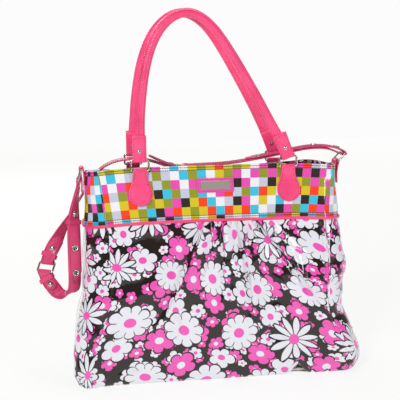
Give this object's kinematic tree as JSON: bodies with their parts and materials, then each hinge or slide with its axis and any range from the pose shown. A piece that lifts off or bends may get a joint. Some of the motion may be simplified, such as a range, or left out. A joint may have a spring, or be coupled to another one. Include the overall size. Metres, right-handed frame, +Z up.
{
  "type": "diaper bag",
  "caption": "Soft diaper tote with a flowered body, chequered band, rolled handles on hinged rings and a snap-adjusted flat shoulder strap.",
  "frame": {"origin": "middle of the base, on the surface the bag stands on", "axes": "+X to the wearer's right along the bag's width, +Y to the back, +Z up through the handles"},
  "size_m": [0.4997, 0.146, 0.5733],
  "materials": {
    "floral_laminate": "glossy laminated print, white and pink flowers on near-black",
    "mosaic_laminate": "glossy laminated print of half-inch coloured squares",
    "lining_cloth": "plain woven nylon, low sheen",
    "stiff_board": "matte stiffener board",
    "pink_leather": "smooth pink coated leather with dark stitching",
    "cotton_rope": "twisted cord filler",
    "nickel": "polished nickel plate",
    "brushed_plate": "brushed blank plate"
  },
  "bodies": {
    "bag": {"front_panel": "floral_laminate", "back_panel": "floral_laminate", "left_gusset": "floral_laminate", "right_gusset": "floral_laminate", "base_panel": "floral_laminate", "top_facing": "floral_laminate", "front_band": "mosaic_laminate", "back_band": "mosaic_laminate", "lining": "lining_cloth", "inner_pocket": "lining_cloth", "base_board": "stiff_board", "band_piping": "pink_leather", "front_left_tab": "pink_leather", "front_right_tab": "pink_leather", "back_left_tab": "pink_leather", "back_right_tab": "pink_leather", "nameplate_patch": "pink_leather", "nameplate": "brushed_plate", "left_side_tab": "pink_leather", "right_side_tab": "pink_leather", "right_side_ring": "nickel", "strap_middle_upper": "pink_leather", "top_link_ring": "nickel", "strap_right": "pink_leather", "strap_right_snaps": "nickel", "magnet_socket": "nickel", "magnet_stud": "nickel"},
    "front_rings": {"front_left_ring": "nickel", "front_right_ring": "nickel"},
    "front_handle": {"front_handle_cover": "pink_leather", "front_handle_rope": "cotton_rope", "front_handle_rivets": "nickel"},
    "back_rings": {"back_left_ring": "nickel", "back_right_ring": "nickel"},
    "back_handle": {"back_handle_cover": "pink_leather", "back_handle_rope": "cotton_rope", "back_handle_rivets": "nickel"},
    "left_ring": {"left_side_ring": "nickel"},
    "strap_loop": {"strap_left": "pink_leather", "strap_left_keeper": "pink_leather", "strap_left_snaps": "nickel", "left_link_ring": "nickel", "left_link_keeper": "pink_leather", "lower_link_keeper": "pink_leather", "link_snap_caps": "nickel", "strap_middle_lower": "pink_leather"}
  },
  "joints": [
    {"name": "front_ring_swing", "type": "hinge", "parent": "bag", "child": "front_rings", "pos_m": [0, -0.0373, 0.331], "axis": [1, 0, 0], "range_deg": [0, 100]},
    {"name": "front_handle_swing", "type": "hinge", "parent": "front_rings", "child": "front_handle", "pos_m": [0, -0.03522, 0.34767], "axis": [1, 0, 0], "range_deg": [0, 70]},
    {"name": "back_ring_swing", "type": "hinge", "parent": "bag", "child": "back_rings", "pos_m": [0, 0.0373, 0.331], "axis": [-1, 0, 0], "range_deg": [0, 100]},
    {"name": "back_handle_swing", "type": "hinge", "parent": "back_rings", "child": "back_handle", "pos_m": [0, 0.03522, 0.34767], "axis": [-1, 0, 0], "range_deg": [0, 70]},
    {"name": "left_ring_swing", "type": "hinge", "parent": "bag", "child": "left_ring", "pos_m": [-0.2034, -0.008, 0.333], "axis": [0, 1, 0], "range_deg": [0, 15]},
    {"name": "strap_loop_swing", "type": "hinge", "parent": "left_ring", "child": "strap_loop", "pos_m": [-0.208, -0.008, 0.3169], "axis": [0, 1, 0], "range_deg": [0, 15]}
  ]
}
